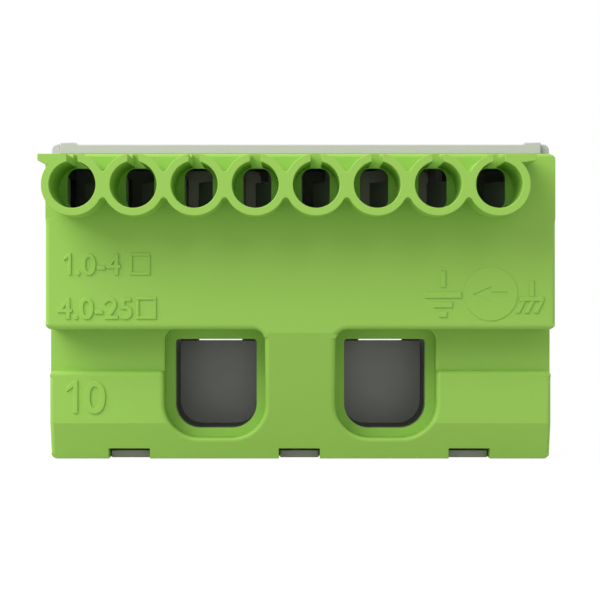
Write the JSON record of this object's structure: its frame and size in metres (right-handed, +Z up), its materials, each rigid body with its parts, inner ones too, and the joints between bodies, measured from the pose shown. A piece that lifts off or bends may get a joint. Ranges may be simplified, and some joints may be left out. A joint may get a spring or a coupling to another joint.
{
  "type": "earth terminal bar",
  "caption": "Earth terminal bar: a row of push-in inlets over rising-cage screw clamps, joined by a brass bar inside a green and pale grey moulded block that stands on its base.",
  "frame": {"origin": "middle of the base, halfway between the inlet mouths and the back face", "axes": "+X to the right seen from the front, +Y from the inlets towards the back, +Z up towards the screws"},
  "size_m": [0.056, 0.025, 0.0355],
  "materials": {
    "green_moulding": "fine moulded texture",
    "grey_moulding": "fine moulded texture",
    "strip_moulding": "smooth moulded",
    "bar_metal": "tin plated",
    "spring_steel": "rolled strip",
    "cage_steel": "zinc plated, dull",
    "screw_steel": "zinc plated"
  },
  "bodies": {
    "block": {"front_cover": "green_moulding", "rear_housing": "grey_moulding", "label_strip": "strip_moulding", "busbar": "bar_metal", "spring_1": "spring_steel", "spring_2": "spring_steel", "spring_3": "spring_steel", "spring_4": "spring_steel", "spring_5": "spring_steel", "spring_6": "spring_steel", "spring_7": "spring_steel", "spring_8": "spring_steel"},
    "left_screw": {"screw_left": "screw_steel"},
    "right_screw": {"screw_right": "screw_steel"},
    "left_cage": {"cage_left": "cage_steel"},
    "right_cage": {"cage_right": "cage_steel"}
  },
  "joints": [
    {"name": "screw_left_turn", "type": "hinge", "parent": "block", "child": "left_screw", "pos_m": [-0.00955, 0.0061, 0.0318], "axis": [0, 0, 1], "range_deg": [-4050, 0]},
    {"name": "screw_right_turn", "type": "hinge", "parent": "block", "child": "right_screw", "pos_m": [0.00955, 0.0061, 0.0318], "axis": [0, 0, 1], "range_deg": [-4050, 0]},
    {"name": "cage_left_rise", "type": "slide", "parent": "block", "child": "left_cage", "axis": [0, 0, 1], "range_m": [0, 0.009]},
    {"name": "cage_right_rise", "type": "slide", "parent": "block", "child": "right_cage", "axis": [0, 0, 1], "range_m": [0, 0.009]}
  ],
  "couplings": [
    {"joint": "screw_left_turn", "follows": "cage_left_rise", "rad_per_m": -7853.9},
    {"joint": "screw_right_turn", "follows": "cage_right_rise", "rad_per_m": -7853.9}
  ]
}
